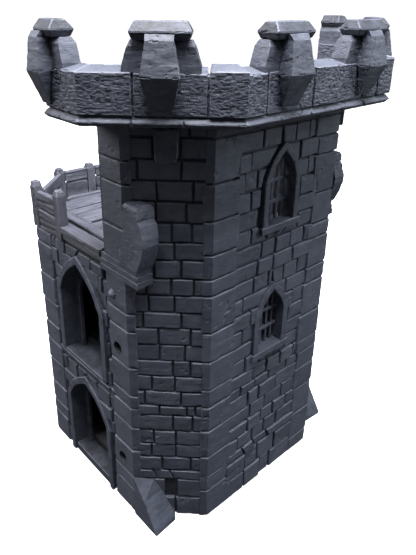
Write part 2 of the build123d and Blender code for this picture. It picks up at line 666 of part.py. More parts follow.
MERLONS = {"facade": (6, MERLON_STEP), "front_left": (7, 0.0), "front_a": (0, -MERLON_STEP),
           "front_b": (0, MERLON_STEP), "front_right": (1, 0.0), "rear": (2, -MERLON_STEP)}
BODY_LEVELS = ((PARAPET_Z1, 12.4, -0.2, -7.0), (209.6, 12.4, -0.2, -7.0),
               (215.4, 10.5, -0.4, -6.9), (MERLON_TOP, 9.6, -1.5, -5.8))
CAP_LEVELS = ((MERLON_TOP, 8.7, 1.0, -6.2), (219.6, 9.6, 2.1, -7.2),
              (CAP_TOP, 8.1, -0.4, -4.8))
BRACE_LEVELS = ((195.9, 3.8, 0.8, 0.7), (206.8, 6.1, 5.6, 0.7))
BRACE_UPPER = ((206.8, 6.1, 5.6, -0.2), (217.2, 4.3, 3.8, -0.4), (219.0, 4.5, 2.5, -0.4))
caps = []
braces = []
for tag, (index, centre) in MERLONS.items():
    body = stack(index, centre, BODY_LEVELS)
    cap = stack(index, centre, CAP_LEVELS)
    brace = stack(index, centre, BRACE_LEVELS) + stack(index, centre, BRACE_UPPER)
    body = (body & front_of_cut) - parapet[index]
    save(f"merlon_{tag}", body)
    caps.append(cap & front_of_cut)
    braces.append((brace & front_of_cut) - body - parapet[index] - cap)
save("merlon_caps", caps[0] + caps[1:])
save("merlon_braces", braces[0] + braces[1:])

brackets = []
for index in (7, 1):
    half, side = HALF - MORTAR, SIDE - MORTAR * math.tan(math.pi / 8)
    outline = [(-4.4, 187.9), (4.4, 187.9), (4.0, 177.4), (3.2, 175.9), (-3.2, 175.9),
               (-4.0, 177.4)]
    brackets.append(upright(index, outline, -BRICK, 4.2))
save("crown_brackets", brackets[0] + brackets[1:])
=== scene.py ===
import math

import bmesh
import bpy
import numpy as np
from mathutils import Matrix, Vector


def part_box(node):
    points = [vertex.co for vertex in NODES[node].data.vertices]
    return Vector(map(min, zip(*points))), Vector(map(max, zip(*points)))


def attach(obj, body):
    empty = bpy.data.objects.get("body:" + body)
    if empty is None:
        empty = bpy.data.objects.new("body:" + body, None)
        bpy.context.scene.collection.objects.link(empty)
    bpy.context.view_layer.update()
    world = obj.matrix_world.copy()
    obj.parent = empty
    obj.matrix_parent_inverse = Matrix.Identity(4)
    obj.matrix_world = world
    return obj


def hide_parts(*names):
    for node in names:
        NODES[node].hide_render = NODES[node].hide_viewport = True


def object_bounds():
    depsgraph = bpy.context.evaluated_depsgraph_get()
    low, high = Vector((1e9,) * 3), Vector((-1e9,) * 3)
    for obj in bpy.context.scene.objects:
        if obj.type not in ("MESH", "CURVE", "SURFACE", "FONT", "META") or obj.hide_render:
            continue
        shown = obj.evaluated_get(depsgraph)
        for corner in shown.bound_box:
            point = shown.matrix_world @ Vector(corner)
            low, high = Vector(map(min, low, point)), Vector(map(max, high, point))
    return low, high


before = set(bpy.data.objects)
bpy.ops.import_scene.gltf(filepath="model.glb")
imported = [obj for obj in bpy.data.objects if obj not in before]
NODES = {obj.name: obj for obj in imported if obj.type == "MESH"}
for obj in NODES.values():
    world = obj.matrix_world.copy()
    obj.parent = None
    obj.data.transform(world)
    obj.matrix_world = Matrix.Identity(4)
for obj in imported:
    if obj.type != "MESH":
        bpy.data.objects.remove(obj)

CAD_LOW, CAD_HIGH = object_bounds()
MM = 0.001

# ------------------------------------------------- sizes of the frame, in millimetres
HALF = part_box("quoins_front_left")[1].x / MM      # centre to a main face
SIDE = 37.75                                      # half length of a main face
STOREY_2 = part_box("upper_storey_walls")[1].z / MM
TOWER_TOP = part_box("half_tower_walls")[1].z / MM
CUT_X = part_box("half_tower_walls")[0].x / MM
MORTAR = -2.0                                     # mortar plane, from the quoin face
SLOPE = math.tan(math.pi / 8)
CHAMFER_HALF = (HALF - SIDE) / math.sqrt(2)       # half length of a chamfer face
WALL_BACK = -2.7                                  # where stones end, inside the wall
PROUDEST = 0.25                                   # the furthest a stone stands out

# ------------------------------------------------------------- sizes of the stonework
BRICK_GAP = 0.44              # from a brick's edge to the middle of its joint
QUOIN_GAP = 0.42
QUOIN_BEVEL = 0.30
GROUND_TOP = 60.0             # the course above it belongs to the upper storey
TOWER_LOW = 128.0             # first whole course of the half tower
BACK_LOW = 132.0              # brickwork on the tower's flat back starts above the deck
BACK_HALF = HALF - 1.5        # half width of the flat back
BACK_LIFT = 1.25              # how far its bricks are lifted clear of the plain wall
MISSING_BRICK = (7, 1, 1)     # face, course and place in the course of a fallen brick
SOCKETS = ((29.7, 29.8), (29.7, 91.2))            # x and z of the two round sockets
SOCKET_RADIUS = 2.75
SOCKET_DEPTH = 8.0            # length of the drill, which starts 1 mm clear of the face
STUD_PLACE = (28.0, 117.0)    # along the facade and up
STUD_RADIUS = 1.9
STUD_HEIGHT = 2.0
BASE_WEAR = 0.26              # how worn and pale an ordinary surface is, from 0 to 1
PAINTED_SHADE_TONE = 0.10            # the same for caps, sill and step, set lower as painted shade

# Heights of the level joints between the brick courses.
COURSES = (0, 11.5, 22.5, 28, 36, 43.5, 51.5, 60, 65.5, 73, 81, 89, 97, 105,
           112.5, 120.5, 128, 136, 143.5, 151.5, 160, 168, 176, 184, 188)

# Brick joints along the window face, in mm from its left corner, one row a course.
FRONT_JOINTS = (
    (25.6, 38.0, 45.2), (26.0, 35.6, 48.0), (24.2, 32.2, 42.2), (19.8, 30.4, 39.2, 48.4),
    (26.4, 36.0, 45.2, 54.8), (28.0, 38.3, 51.2), (26.0, 33.3, 46.2),
    (20.8, 30.3, 40.2, 53.2), (28.4, 38.0, 47.2, 57.2), (22.3, 32.5, 42.0, 50.6),
    (26.2, 49.2), (19.4, 50.2), (24.0, 53.2), (19.0, 47.6), (25.4, 35.2, 45.1, 54.9),
    (27.1, 37.0, 50.2), (29.1, 38.1, 47.8, 57.2), (22.3, 32.3, 42.0, 52.0),
    (25.8, 50.2), (20.8, 51.1), (17.0, 24.2, 56.2), (19.8, 49.8), (26.2, 37.2, 45.6, 55.2),
    (22.0, 33.0, 48.0),
)
# The same for the chamfer face beside it.
CHAMFER_JOINTS = (
    (9.0, 19.5), (14.9, 20.2), (10.2, 17.8), (13.5, 26.7), (8.8, 19.8), (10.0, 19.8),
    (18.7, 27.2), (12.8, 24.8, 28.4), (6.4, 22.2), (9.7, 19.5), (18.7, 26.2),
    (13.2, 23.8), (12.8, 26.2), (6.8, 22.2), (9.2, 19.5), (8.4, 18.4, 27.2),
    (11.6, 22.2), (10.6, 19.6), (18.6, 26.3), (12.6, 24.2), (13.2, 26.7), (6.3, 22.3),
    (12.2, 21.8), (16.0, 25.0),
)
# The facade, in mm from its left corner.
FACADE_JOINTS = (
    (15.5, 58.8), (14.8, 59.5), (16.0, 60.0), (14.4, 58.4), (15.6, 59.6), (15.0, 59.0),
    (19.0, 28.6, 46.6, 57.6), (17.6, 22.4, 37.8, 50.0), (15.2, 60.2), (14.6, 58.6),
    (15.8, 59.8), (14.8, 59.0), (15.4, 60.0), (14.6, 58.8), (19.6, 54.4, 57.4),
    (18.0, 26.6, 38.4, 49.2, 59.0),
)
# Heights of the joints between corner stones, in four patterns.
QUOIN_STONES = {
    0: (0, 16.5, 25, 37.3, 52.5, 65.5, 75, 89.3, 103.5, 120.6, 128, 138.6, 152.5, 167, 184, 188),
    1: (0, 9, 25.5, 42, 55, 65, 72.5, 87, 104.5, 113, 127.8, 135, 149.7, 167.5, 175.5, 184, 188),
    2: (0, 15, 23, 39, 52.3, 63.2, 70, 84.6, 102.8, 111.3, 126.5, 148.2, 166, 175, 188),
    3: (0, 15, 22.5, 35, 50.3, 63, 74.2, 87.6, 102.5, 119.5, 126.5),
}


# ------------------------------------------------------------------ noise in numpy
def lattice(ix, iy, iz, seed):
    """A fixed pseudo random number from 0 to 1 for each lattice point."""
    n = ix * 374761393 + iy * 668265263 + iz * 1274126177 + seed * 974634777
    n = (n ^ (n >> 13)) & 0x7FFFFFFF
    n = (n * 1103515245 + 12345) & 0x7FFFFFFF
    n = ((n ^ (n >> 15)) * 69069 + 1) & 0x7FFFFFFF
    return ((n >> 7) & 0xFFFFFF) / float(0xFFFFFF)


def noise(p, seed=0):
    """Smooth value noise from -1 to 1 at points p, an (n, 3) array."""
    base = np.floor(p)
    f = p - base
    f = f * f * (3.0 - 2.0 * f)
    i = base.astype(np.int64)
    total = np.zeros(len(p))
    for dx in (0, 1):
        wx = f[:, 0] if dx else 1.0 - f[:, 0]
        for dy in (0, 1):
            wy = f[:, 1] if dy else 1.0 - f[:, 1]
            for dz in (0, 1):
                wz = f[:, 2] if dz else 1.0 - f[:, 2]
                total += wx * wy * wz * lattice(i[:, 0] + dx, i[:, 1] + dy, i[:, 2] + dz, seed)
    return total * 2.0 - 1.0


def fbm(p, seed=0, octaves=3):
    """Layered noise, each layer half as strong and twice as fine."""
    total = np.zeros(len(p))
    strength = 1.0
    for k in range(octaves):
        total += strength * noise(p * 2.0 ** k, seed + 17 * k)
        strength *= 0.5
    return total


def ripples(p, seed=0, long=5.0, short=1.25):
    """Chisel ripples: ridges that run level, long one way and short in height."""
    q = p / np.array([long, long, short])
    q[:, 2] += 0.8 * noise(p / 6.0, seed + 5)
    ridge = 1.0 - np.abs(fbm(q, seed, 2)) * 1.6
    return ridge


def cracks(p, seed=0, size=7.0, width=0.05):
    """Thin branching grooves, 1 in the groove and 0 elsewhere, in patches."""
    line = np.abs(fbm(p / size, seed, 3))
    patch = np.clip(noise(p / (2.2 * size), seed + 91) * 3.0 - 0.6, 0.0, 1.0)
    return np.clip(1.0 - line / width, 0.0, 1.0) * patch


# ---------------------------------------------------------------- face directions
def face_frame(index, half=HALF, side=SIDE):
    """Centre, tangent and outward normal of an octagon face, in plan."""
    angle = index * math.pi / 4
    normal = np.array([math.cos(angle), math.sin(angle)])
    reach = half if index % 2 == 0 else (half + side) / math.sqrt(2)
    return normal * reach, np.array([-normal[1], normal[0]]), normal


def half_width(index):
    """Half the length of a face."""
    return SIDE if index % 2 == 0 else CHAMFER_HALF


def on_face(index, u, z, w):
    """Points on a face: u along it, z up, w out of it, all arrays in mm."""
    centre, tangent, normal = face_frame(index)
    out = np.empty((len(u), 3))
    out[:, 0] = centre[0] + tangent[0] * u + normal[0] * w
    out[:, 1] = centre[1] + tangent[1] * u + normal[1] * w
    out[:, 2] = z
    return out


# -------------------------------------------------------------------- mesh building
class Heap:
    """Collects the vertices and faces of many stones for one mesh."""

    def __init__(self):
        self.points = []
        self.loops = []
        self.wear_and_painted_light = []
        self.count = 0

    def add(self, points, loops, wear_and_painted_light):
        self.points.append(points)
        self.wear_and_painted_light.append(wear_and_painted_light)
        self.loops.extend([[i + self.count for i in loop] for loop in loops])
        self.count += len(points)

    def mesh(self, name):
        data = bpy.data.meshes.new(name)
        points = np.concatenate(self.points)
        data.from_pydata((points * MM).tolist(), [], self.loops)
        paint(data, np.concatenate(self.wear_and_painted_light))
        return data


def paint(data, wear_and_painted_light, domain="POINT"):
    """Stores how pale each vertex or face is, from rubbing and from painted highlight and shade,
    for the material.
    """
    layer = data.attributes.new("wear_and_painted_light", "FLOAT", domain)
    layer.data.foreach_set("value", np.clip(wear_and_painted_light, 0.0, 1.0).astype(np.float32))


def patch_loops(columns, rows):
    """Faces of a closed stone: a top grid, four sides and a back."""
    loops = []
    for i in range(columns - 1):
        for j in range(rows - 1):
            a = i * rows + j
            loops.append([a, a + rows, a + rows + 1, a + 1])
    rim = [i * rows for i in range(columns)]
    rim += [(columns - 1) * rows + j for j in range(1, rows)]
    rim += [i * rows + rows - 1 for i in range(columns - 2, -1, -1)]
    rim += [j for j in range(rows - 2, 0, -1)]
    first = columns * rows
    n = len(rim)
    for k in range(n):
        loops.append([rim[k], first + k, first + (k + 1) % n, rim[(k + 1) % n]])
    loops.append([first + k for k in range(n - 1, -1, -1)])
    return loops, rim


def spaced(length, step, bevel):
    """Positions from 0 to 1 with a narrow first and last interval."""
    edge = min(bevel / length, 0.2)
    count = max(2, int(round(length * (1 - 2 * edge) / step)))
    inner = np.linspace(edge, 1 - edge, count + 1)
    return np.concatenate(([0.0], inner, [1.0]))


def stone(heap, place, length, height, proud, tilt, seed, rough=0.10, step=1.1, bevel=0.26,
          columns=None, edge_wear_and_highlight=-0.02):
    """One dressed stone. place(s, t, w) gives points for s and t from 0 to 1.

    proud is how far its face stands out, tilt leans it along and up, rough is the height of
    its unevenness, and edge_wear_and_highlight is how much paler its edges are, from rubbing and
    painted highlight."""
    s = spaced(length, step, bevel) if columns is None else columns
    t = spaced(height, step, bevel)
    S, T = [a.ravel() for a in np.meshgrid(s, t, indexing="ij")]
    flat = place(S, T, np.zeros(len(S)))
    mm = flat + seed * np.array([3.7, 5.3, 0.9])
    edge = np.minimum(np.minimum(S, 1 - S) * length, np.minimum(T, 1 - T) * height)
    rim_share = np.clip(1.0 - edge / max(bevel, 1e-6), 0.0, 1.0)
    chip = np.clip(fbm(mm / 2.1, 3, 2) * 1.4 - 0.25, 0.0, 1.0)
    near = np.clip(1.0 - edge / (2.4 * bevel), 0.0, 1.0)
    w = proud + tilt[0] * (S - 0.5) + tilt[1] * (T - 0.5)
    w += rough * (0.75 * fbm(mm / np.array([4.0, 4.0, 2.0]), 11, 3)
                  + 0.45 * noise(mm / np.array([3.0, 3.0, 0.7]), 23))
    w -= 0.5 * cracks(mm, 37, 6.0, 0.05)
    pit = noise(mm / 1.15, 51)
    w -= 0.45 * np.clip(pit * 3.2 - 2.35, 0.0, 1.0)
    w -= rim_share * (0.42 + 0.12 * noise(mm / 1.5, 5)) + near * chip * 0.40
    inward_s = rim_share * 0.16 * noise(mm / 2.6, 71) / length
    inward_t = rim_share * 0.16 * noise(mm / 2.6, 77) / height
    w = np.maximum(w, MORTAR + 0.25)
    w = np.minimum(w, PROUDEST)
    top = place(S + inward_s, T + inward_t, w)
    loops, rim = patch_loops(len(s), len(t))
    under = place((S + inward_s)[rim], (T + inward_t)[rim], np.full(len(rim), WALL_BACK))
    # Tone: mottle, edges paler by edge_wear_and_highlight and pale edge flecks, both from rubbing
    # and painted highlight, and a random tone for each stone.
    wear_and_painted_light = BASE_WEAR + 0.07 * noise(mm / 5.0, 61) + 0.05 * noise(mm / 0.9, 63) + edge_wear_and_highlight * rim_share
    wear_and_painted_light += 0.35 * rim_share * np.clip(noise(mm / 3.0, 67) - 0.2, 0.0, 1.0)
    wear_and_painted_light += 0.10 * (lattice(np.int64(seed), np.int64(5), np.int64(1), 77) - 0.5)
    # The back of each stone gets the darkest tone, so its sides fade to a painted shade in the
    # joints.
    low = np.zeros(len(rim))
    heap.add(np.concatenate((top, under)), loops, np.concatenate((wear_and_painted_light, low)))


def quad_place(index, corners, shift=0.0):
    """Bilinear placing of a four-cornered brick on a face, or shift mm out of it.

    corners are (u, z) at lower left, lower right, upper right, upper left."""
    (u0, z0), (u1, z1), (u2, z2), (u3, z3) = corners

    def place(s, t, w):
        u = (u0 * (1 - s) + u1 * s) * (1 - t) + (u3 * (1 - s) + u2 * s) * t
        z = (z0 * (1 - s) + z1 * s) * (1 - t) + (z3 * (1 - s) + z2 * s) * t
        return on_face(index, u, z, w + shift)
    return place


def wrap_place(corner, reach_a, reach_b, z0, z1):
    """Placing of a corner stone: s from 0 at its end on the first face to 1."""
    first, second = (corner - 1) % 8, corner % 8
    half_a, half_b = half_width(first), half_width(second)
    total = reach_a + reach_b
    share = reach_a / total

    def place(s, t, w):
        z = z0 + (z1 - z0) * t
        along = s * total - reach_a
        bend = w * SLOPE
        a = on_face(first, half_a + along + bend * np.clip(1 + along / reach_a, 0, 1), z, w)
        b = on_face(second, -half_b + along - bend * np.clip(1 - along / reach_b, 0, 1), z, w)
        return np.where((along <= 0)[:, None], a, b)
    return place, share, total


def finish_object(data, name, replaced=(), material=None):
    """Makes the object, gives it its material and its place in the frame."""
    data.validate(clean_customdata=False)
    data.update()
    o = bpy.data.objects.new(name, data)
    bpy.context.scene.collection.objects.link(o)
    fit_inside(o)
    data.materials.clear()
    data.materials.append(material)
    for polygon in data.polygons:
        polygon.use_smooth = False
    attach(o, "root")
    if replaced:
        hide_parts(*replaced)
    return o


def fit_inside(o):
    """Keeps every vertex inside the CAD model's box."""
    co = vertices(o.data)
    co = np.clip(co, np.array(CAD_LOW) + 2e-6, np.array(CAD_HIGH) - 2e-6)
    o.data.vertices.foreach_set("co", co.ravel().astype(np.float32))
    o.data.update()


def vertices(data):
    co = np.empty(len(data.vertices) * 3, np.float32)
    data.vertices.foreach_get("co", co)
    return co.reshape(-1, 3).astype(float)


def normals(data):
    out = np.empty(len(data.vertices) * 3, np.float32)
    data.vertices.foreach_get("normal", out)
    return out.reshape(-1, 3).astype(float)


def refine(points, corners, rim, longest):
    """Halves the longest sides of triangles until none is longer than the limit."""
    small, small_rim = [], []
    for _ in range(40):
        spots = points[corners]
        sides = np.linalg.norm(np.roll(spots, -1, axis=1) - spots, axis=2)
        worst = sides.argmax(axis=1)
        wide = sides[np.arange(len(corners)), worst] > longest
        small.append(corners[~wide])
        small_rim.append(rim[~wide])
        corners, rim, worst = corners[wide], rim[wide], worst[wide]
        if not len(corners):
            break
        total = len(points)
        ahead = np.roll(corners, -1, axis=1)
        key = np.minimum(corners, ahead) * total + np.maximum(corners, ahead)
        chosen = np.unique(key[np.arange(len(corners)), worst])
        where = np.minimum(np.searchsorted(chosen, key), len(chosen) - 1)
        hit = chosen[where] == key
        middle = total + where
        halfway = (points[chosen // total] + points[chosen % total]) / 2
        points = np.concatenate((points, halfway))
        count = hit.sum(axis=1)
        made, flags = [], []
        for turn in range(3):
            v, m, h = (np.roll(part, -turn, axis=1) for part in (corners, middle, hit))
            one = (count == 1) & h[:, 0]
            two = (count == 2) & h[:, 0] & h[:, 1]
            a, b, c = v[one].T
            x = m[one, 0]
            made += [np.stack(t, axis=1) for t in ((a, x, c), (x, b, c))]
            flags += [rim[one]] * 2
            a, b, c = v[two].T
            x, y = m[two, 0], m[two, 1]
            made += [np.stack(t, axis=1) for t in ((x, b, y), (a, x, y), (a, y, c))]
            flags += [rim[two]] * 3
        full = count == 3
        a, b, c = corners[full].T
        x, y, z = middle[full].T
        made += [np.stack(t, axis=1) for t in ((a, x, z), (x, b, y), (z, y, c), (x, y, z))]
        flags += [rim[full]] * 4
        corners = np.concatenate(made)
        rim = np.concatenate(flags)
    return points, np.concatenate(small), np.concatenate(small_rim)


SHARP = math.radians(18)


def islands(bm):
    """The sharp outward edges of each separate lump of a mesh."""
    seen = set()
    groups = []
    for start in bm.verts:
        if start in seen:
            continue
        seen.add(start)
        queue = [start]
        edges = []
        while queue:
            v = queue.pop()
            for e in v.link_edges:
                other = e.other_vert(v)
                if other not in seen:
                    seen.add(other)
                    queue.append(other)
                if v.index <= other.index and len(e.link_faces) == 2 and e.is_convex:
                    if e.calc_face_angle(0.0) > SHARP:
                        edges.append(e)
        groups.append(edges)
    return groups


def stretched(p, way, across, along):
    """Points scaled so that noise read at them runs long in one direction."""
    way = np.array(way)
    share = p @ way
    return p / across + np.outer(share * (1.0 / along - 1.0 / across), way)


def worked(p, nrm, rim, kind, amount, seed, way):
    """How far a tool or the print moves each point out of its smooth face, in mm."""
    if kind == "chisel":
        level = (1.0 - np.abs(nrm[:, 2])) * (1.0 - 0.75 * rim)
        push = amount * (ripples(p, seed, 2.2, 0.62) - 0.62) * (0.08 + 0.92 * level)
        push += 0.6 * amount * fbm(p / 1.1, seed + 31, 2) * level
        push -= 0.35 * cracks(p, seed + 9, 8.0, 0.045)
    elif kind == "wood":
        push = amount * fbm(stretched(p, way, 1.5, 17.0), seed, 3)
        split = np.abs(noise(stretched(p, way, 2.6, 34.0), seed + 4))
        push -= 1.6 * amount * np.clip(1.0 - split / 0.10, 0.0, 1.0)
    else:
        push = amount * (0.6 * fbm(p / np.array([5.0, 5.0, 2.5]), seed, 3)
                         + 0.4 * noise(p / np.array([2.6, 2.6, 0.9]), seed + 3))
        push -= 0.3 * cracks(p, seed + 9, 7.0, 0.04)
    push -= 0.3 * np.clip(noise(p / 1.3, seed + 51) * 3.2 - 2.45, 0.0, 1.0)
    push -= 0.4 * rim * np.clip(fbm(p / 2.2, seed + 13, 2) * 1.5 - 0.45, 0.0, 1.0)
    return push


def dressed(node, amount=0.10, kind="soft", seed=1, cell=0.9, bevel=0.35, way=(1, 0, 0),
            material=None, edge_wear_and_highlight=0.26, sides=0.0, base=BASE_WEAR):
    """A CAD node with fine bevels on its edges, worked over, as a piece that replaces it.

    cell is the longest side of its triangles, base how pale it is, set lower as painted shade on
    some pieces, edge_wear_and_highlight how much paler its bevels are, from rubbing and painted
    highlight, and sides how much darker its upright faces are painted, a painted shade."""
    bm = bmesh.new()
    bm.from_mesh(NODES[node].data)
    bmesh.ops.remove_doubles(bm, verts=bm.verts, dist=2e-6)
    bmesh.ops.dissolve_limit(bm, angle_limit=0.026, verts=bm.verts, edges=bm.edges)
    bm.verts.index_update()
    layer = bm.faces.layers.int.new("rim")
    for edges in islands(bm):
        made = bmesh.ops.bevel(bm, geom=edges, offset=bevel * MM, offset_type="OFFSET", segments=1,
                               profile=0.5, affect="EDGES", clamp_overlap=True)
        for face in made["faces"]:
            face[layer] = 1
    bmesh.ops.triangulate(bm, faces=bm.faces)
    bm.verts.index_update()
    points = np.array([v.co[:] for v in bm.verts]) / MM
    corners = np.array([[v.index for v in f.verts] for f in bm.faces], np.int64)
    rim = np.array([f[layer] for f in bm.faces])
    bm.free()
    points, corners, rim = refine(points, corners, rim, cell)
    data = bpy.data.meshes.new(node)
    data.from_pydata((points * MM).tolist(), [], corners.tolist())
    data.update()
    edge = np.zeros(len(points))
    for k in range(3):
        np.maximum.at(edge, corners[:, k], rim)
    nrm = normals(data)
    push = worked(points + seed * np.array([7.7, 3.1, 1.3]), nrm, edge, kind, amount, seed, way)
    points = points + nrm * push[:, None]
    data.vertices.foreach_set("co", (points * MM).ravel().astype(np.float32))
    centre = points[corners].mean(axis=1)
    lift = push[corners].mean(axis=1)
    wear_and_painted_light = base + 0.07 * noise(centre / 5.0, seed + 61) + 0.05 * noise(centre / 0.9, seed + 63)
    # Raised parts are painted paler and sunk parts darker, a painted highlight and shade on the
    # relief; bevels are paler from rubbing and painted highlight.
    relief_light_and_shade = np.clip(lift / amount - (0.15 if kind == "chisel" else 0.4), -0.6, 1.0)
    wear_and_painted_light += (0.16 if kind == "chisel" else 0.14) * relief_light_and_shade + edge_wear_and_highlight * rim
    # Upright faces are painted darker by sides, a painted shade.
    level = np.array([abs(f.normal.z) for f in data.polygons])
    wear_and_painted_light -= sides * (level < 0.5)
    paint(data, wear_and_painted_light, "FACE")
    return finish_object(data, node + "_carved", (node,), material)


# --------------------------------------------------------------------- the materials
MOTTLE_SHARE = 0.15           # how much the mottle adds to the tone
STREAK_SHARE = 0.10           # the same for the streaks, on stone
GRAIN_SHARE = 0.16            # and on wood
WEAR_AND_PAINTED_LIGHT_SHARE = 0.62             # and for the stored tone of rubbing, painted highlight and painted shade in the mesh
LAYER_HEIGHT = 0.00006        # metres of relief of the print's layer lines
FINE_HEIGHT = 0.00010         # the same for the fine pitting
STREAK_HEIGHT = 0.00018       # and for the streaks, or the grain of the planks
# Colour of the filament from joints in painted shade to pale edges, from rubbing and painted
# highlight.
TONES = ((0.10, (0.008, 0.009, 0.014)), (0.22, (0.032, 0.037, 0.053)),
         (0.36, (0.057, 0.064, 0.086)), (0.70, (0.160, 0.170, 0.214)))


def plastic(name, tone=(1.0, 1.0, 1.0), streak=1.0, turn=None):
    """Matte grey filament: mottled colour, pale edges from rubbing and painted highlight, and fine
    level layer lines.

    tone multiplies the colours, streak the relief of the streaks and layer lines, and turn is
    the direction of wood grain in plan, for the planks."""
    m = bpy.data.materials.new(name)
    m.use_nodes = True
    nt = m.node_tree
    nt.nodes.clear()
    out = nt.nodes.new("ShaderNodeOutputMaterial")
    bsdf = nt.nodes.new("ShaderNodeBsdfPrincipled")
    nt.links.new(bsdf.outputs[0], out.inputs[0])
    bsdf.inputs["Specular IOR Level"].default_value = 0.42
    where = nt.nodes.new("ShaderNodeTexCoord")

    def textured(scale, stretch, detail):
        mapping = nt.nodes.new("ShaderNodeMapping")
        mapping.inputs["Scale"].default_value = stretch
        nt.links.new(where.outputs["Object"], mapping.inputs[0])
        tex = nt.nodes.new("ShaderNodeTexNoise")
        tex.inputs["Scale"].default_value = scale
        tex.inputs["Detail"].default_value = detail
        nt.links.new(mapping.outputs[0], tex.inputs["Vector"])
        return tex

    mottle = textured(240.0, (1, 1, 1), 5.0)
    streaks = textured(360.0, (1, 1, 5), 3.0)
    if turn is not None:
        mapping = streaks.inputs["Vector"].links[0].from_node
        mapping.vector_type = "TEXTURE"
        mapping.inputs["Rotation"].default_value = (0, 0, turn)
        mapping.inputs["Scale"].default_value = (4.0, 0.25, 0.25)
    fine = textured(700.0, (1, 1, 1.6), 4.0)
    wear_and_painted_light = nt.nodes.new("ShaderNodeAttribute")
    wear_and_painted_light.attribute_name = "wear_and_painted_light"

    blend = nt.nodes.new("ShaderNodeMath")
    blend.operation = "MULTIPLY_ADD"
    blend.inputs[1].default_value = MOTTLE_SHARE
    nt.links.new(mottle.outputs[0], blend.inputs[0])
    extra = nt.nodes.new("ShaderNodeMath")
    extra.operation = "MULTIPLY_ADD"
    extra.inputs[1].default_value = STREAK_SHARE if turn is None else GRAIN_SHARE
    nt.links.new(streaks.outputs[0], extra.inputs[0])
    # The stored rubbing, painted highlight and painted shade, weighted, are added to the mottle
    # and streaks to set the tone.
    weighted_wear_and_light = nt.nodes.new("ShaderNodeMath")
    weighted_wear_and_light.operation = "MULTIPLY"
    weighted_wear_and_light.inputs[1].default_value = WEAR_AND_PAINTED_LIGHT_SHARE
    nt.links.new(wear_and_painted_light.outputs["Fac"], weighted_wear_and_light.inputs[0])
    nt.links.new(weighted_wear_and_light.outputs[0], extra.inputs[2])
    nt.links.new(extra.outputs[0], blend.inputs[2])
    ramp = nt.nodes.new("ShaderNodeValToRGB")
    stops = ramp.color_ramp.elements
    for place, colour in TONES[1:-1]:
        stops.new(place)
    for stop, (place, colour) in zip(stops, TONES):
        stop.position = place
        stop.color = (*[c * t for c, t in zip(colour, tone)], 1)
    nt.links.new(blend.outputs[0], ramp.inputs[0])
    nt.links.new(ramp.outputs[0], bsdf.inputs["Base Color"])

    rough = nt.nodes.new("ShaderNodeMapRange")
    rough.inputs["To Min"].default_value = 0.52
    rough.inputs["To Max"].default_value = 0.74
    nt.links.new(fine.outputs[0], rough.inputs[0])
    nt.links.new(rough.outputs[0], bsdf.inputs["Roughness"])

    layers = nt.nodes.new("ShaderNodeTexWave")
    layers.wave_type = "BANDS"
    layers.bands_direction = "Z"
    layers.inputs["Scale"].default_value = 1570.0
    layers.inputs["Distortion"].default_value = 0.6
    layers.inputs["Detail"].default_value = 1.0
    nt.links.new(where.outputs["Object"], layers.inputs["Vector"])
    bump_a = nt.nodes.new("ShaderNodeBump")
    bump_a.inputs["Strength"].default_value = 0.35 * streak
    bump_a.inputs["Distance"].default_value = LAYER_HEIGHT
    nt.links.new(layers.outputs[0], bump_a.inputs["Height"])
    bump_b = nt.nodes.new("ShaderNodeBump")
    bump_b.inputs["Strength"].default_value = 0.9
    bump_b.inputs["Distance"].default_value = FINE_HEIGHT
    nt.links.new(fine.outputs[0], bump_b.inputs["Height"])
    nt.links.new(bump_a.outputs[0], bump_b.inputs["Normal"])
    bump_c = nt.nodes.new("ShaderNodeBump")
    bump_c.inputs["Strength"].default_value = 0.5 * streak
    bump_c.inputs["Distance"].default_value = STREAK_HEIGHT
    nt.links.new(streaks.outputs[0], bump_c.inputs["Height"])
    nt.links.new(bump_b.outputs[0], bump_c.inputs["Normal"])
    nt.links.new(bump_c.outputs[0], bsdf.inputs["Normal"])
    return m


STONE = plastic("slate_print_stone")
WOOD = (1.05, 0.98, 0.94)
WOOD_X = plastic("slate_print_planks_x", WOOD, streak=2.0, turn=0.0)
WOOD_Y = plastic("slate_print_planks_y", WOOD, streak=2.0, turn=math.pi / 2)
WOOD_N = plastic("slate_print_planks_n", WOOD, streak=2.0, turn=-math.pi / 4)
# The upper room's floorboards take a darker tone, a painted shade inside the room.
FLOORBOARDS_PAINTED_SHADE = plastic("slate_print_floor_painted_shade", (0.5, 0.5, 0.5), streak=2.0, turn=0.0)
# The inner parts take a much darker tone, a painted shade inside the tower.
INNER_PAINTED_SHADE = plastic("slate_print_inner_painted_shade", (0.36, 0.36, 0.36), streak=1.3)


# --------------------------------------------------------------- arches in outline
def arch_outline(half, base, spring, apex, steps=7):
    """The CAD's pointed arch as (height, half width) pairs."""
    rows = [(base, half)]
    for i in range(steps + 1):
        t = i / steps
        bow = 0.13 * half * math.sin(math.pi * t)
        rows.append((spring + (apex - spring) * t + bow * 0.55, half * (1 - t) + bow))
    return rows


def width_at(rows, z):
    """Half width of an opening at height z, or -1 outside it."""
    if z < rows[0][0] or z > rows[-1][0]:
        return -1.0
    return float(np.interp(z, [r[0] for r in rows], [r[1] for r in rows]))


# Outlines over the arch frames of the facade and the window frames beside it.
ARCHES = (arch_outline(19.6, -1, 38.0, 58.4), arch_outline(19.6, 64.6, 101.0, 123.8))
WINDOWS = (arch_outline(10.9, 77.4, 99.5, 114.0), arch_outline(11.5, 139.6, 161.9, 177.0))


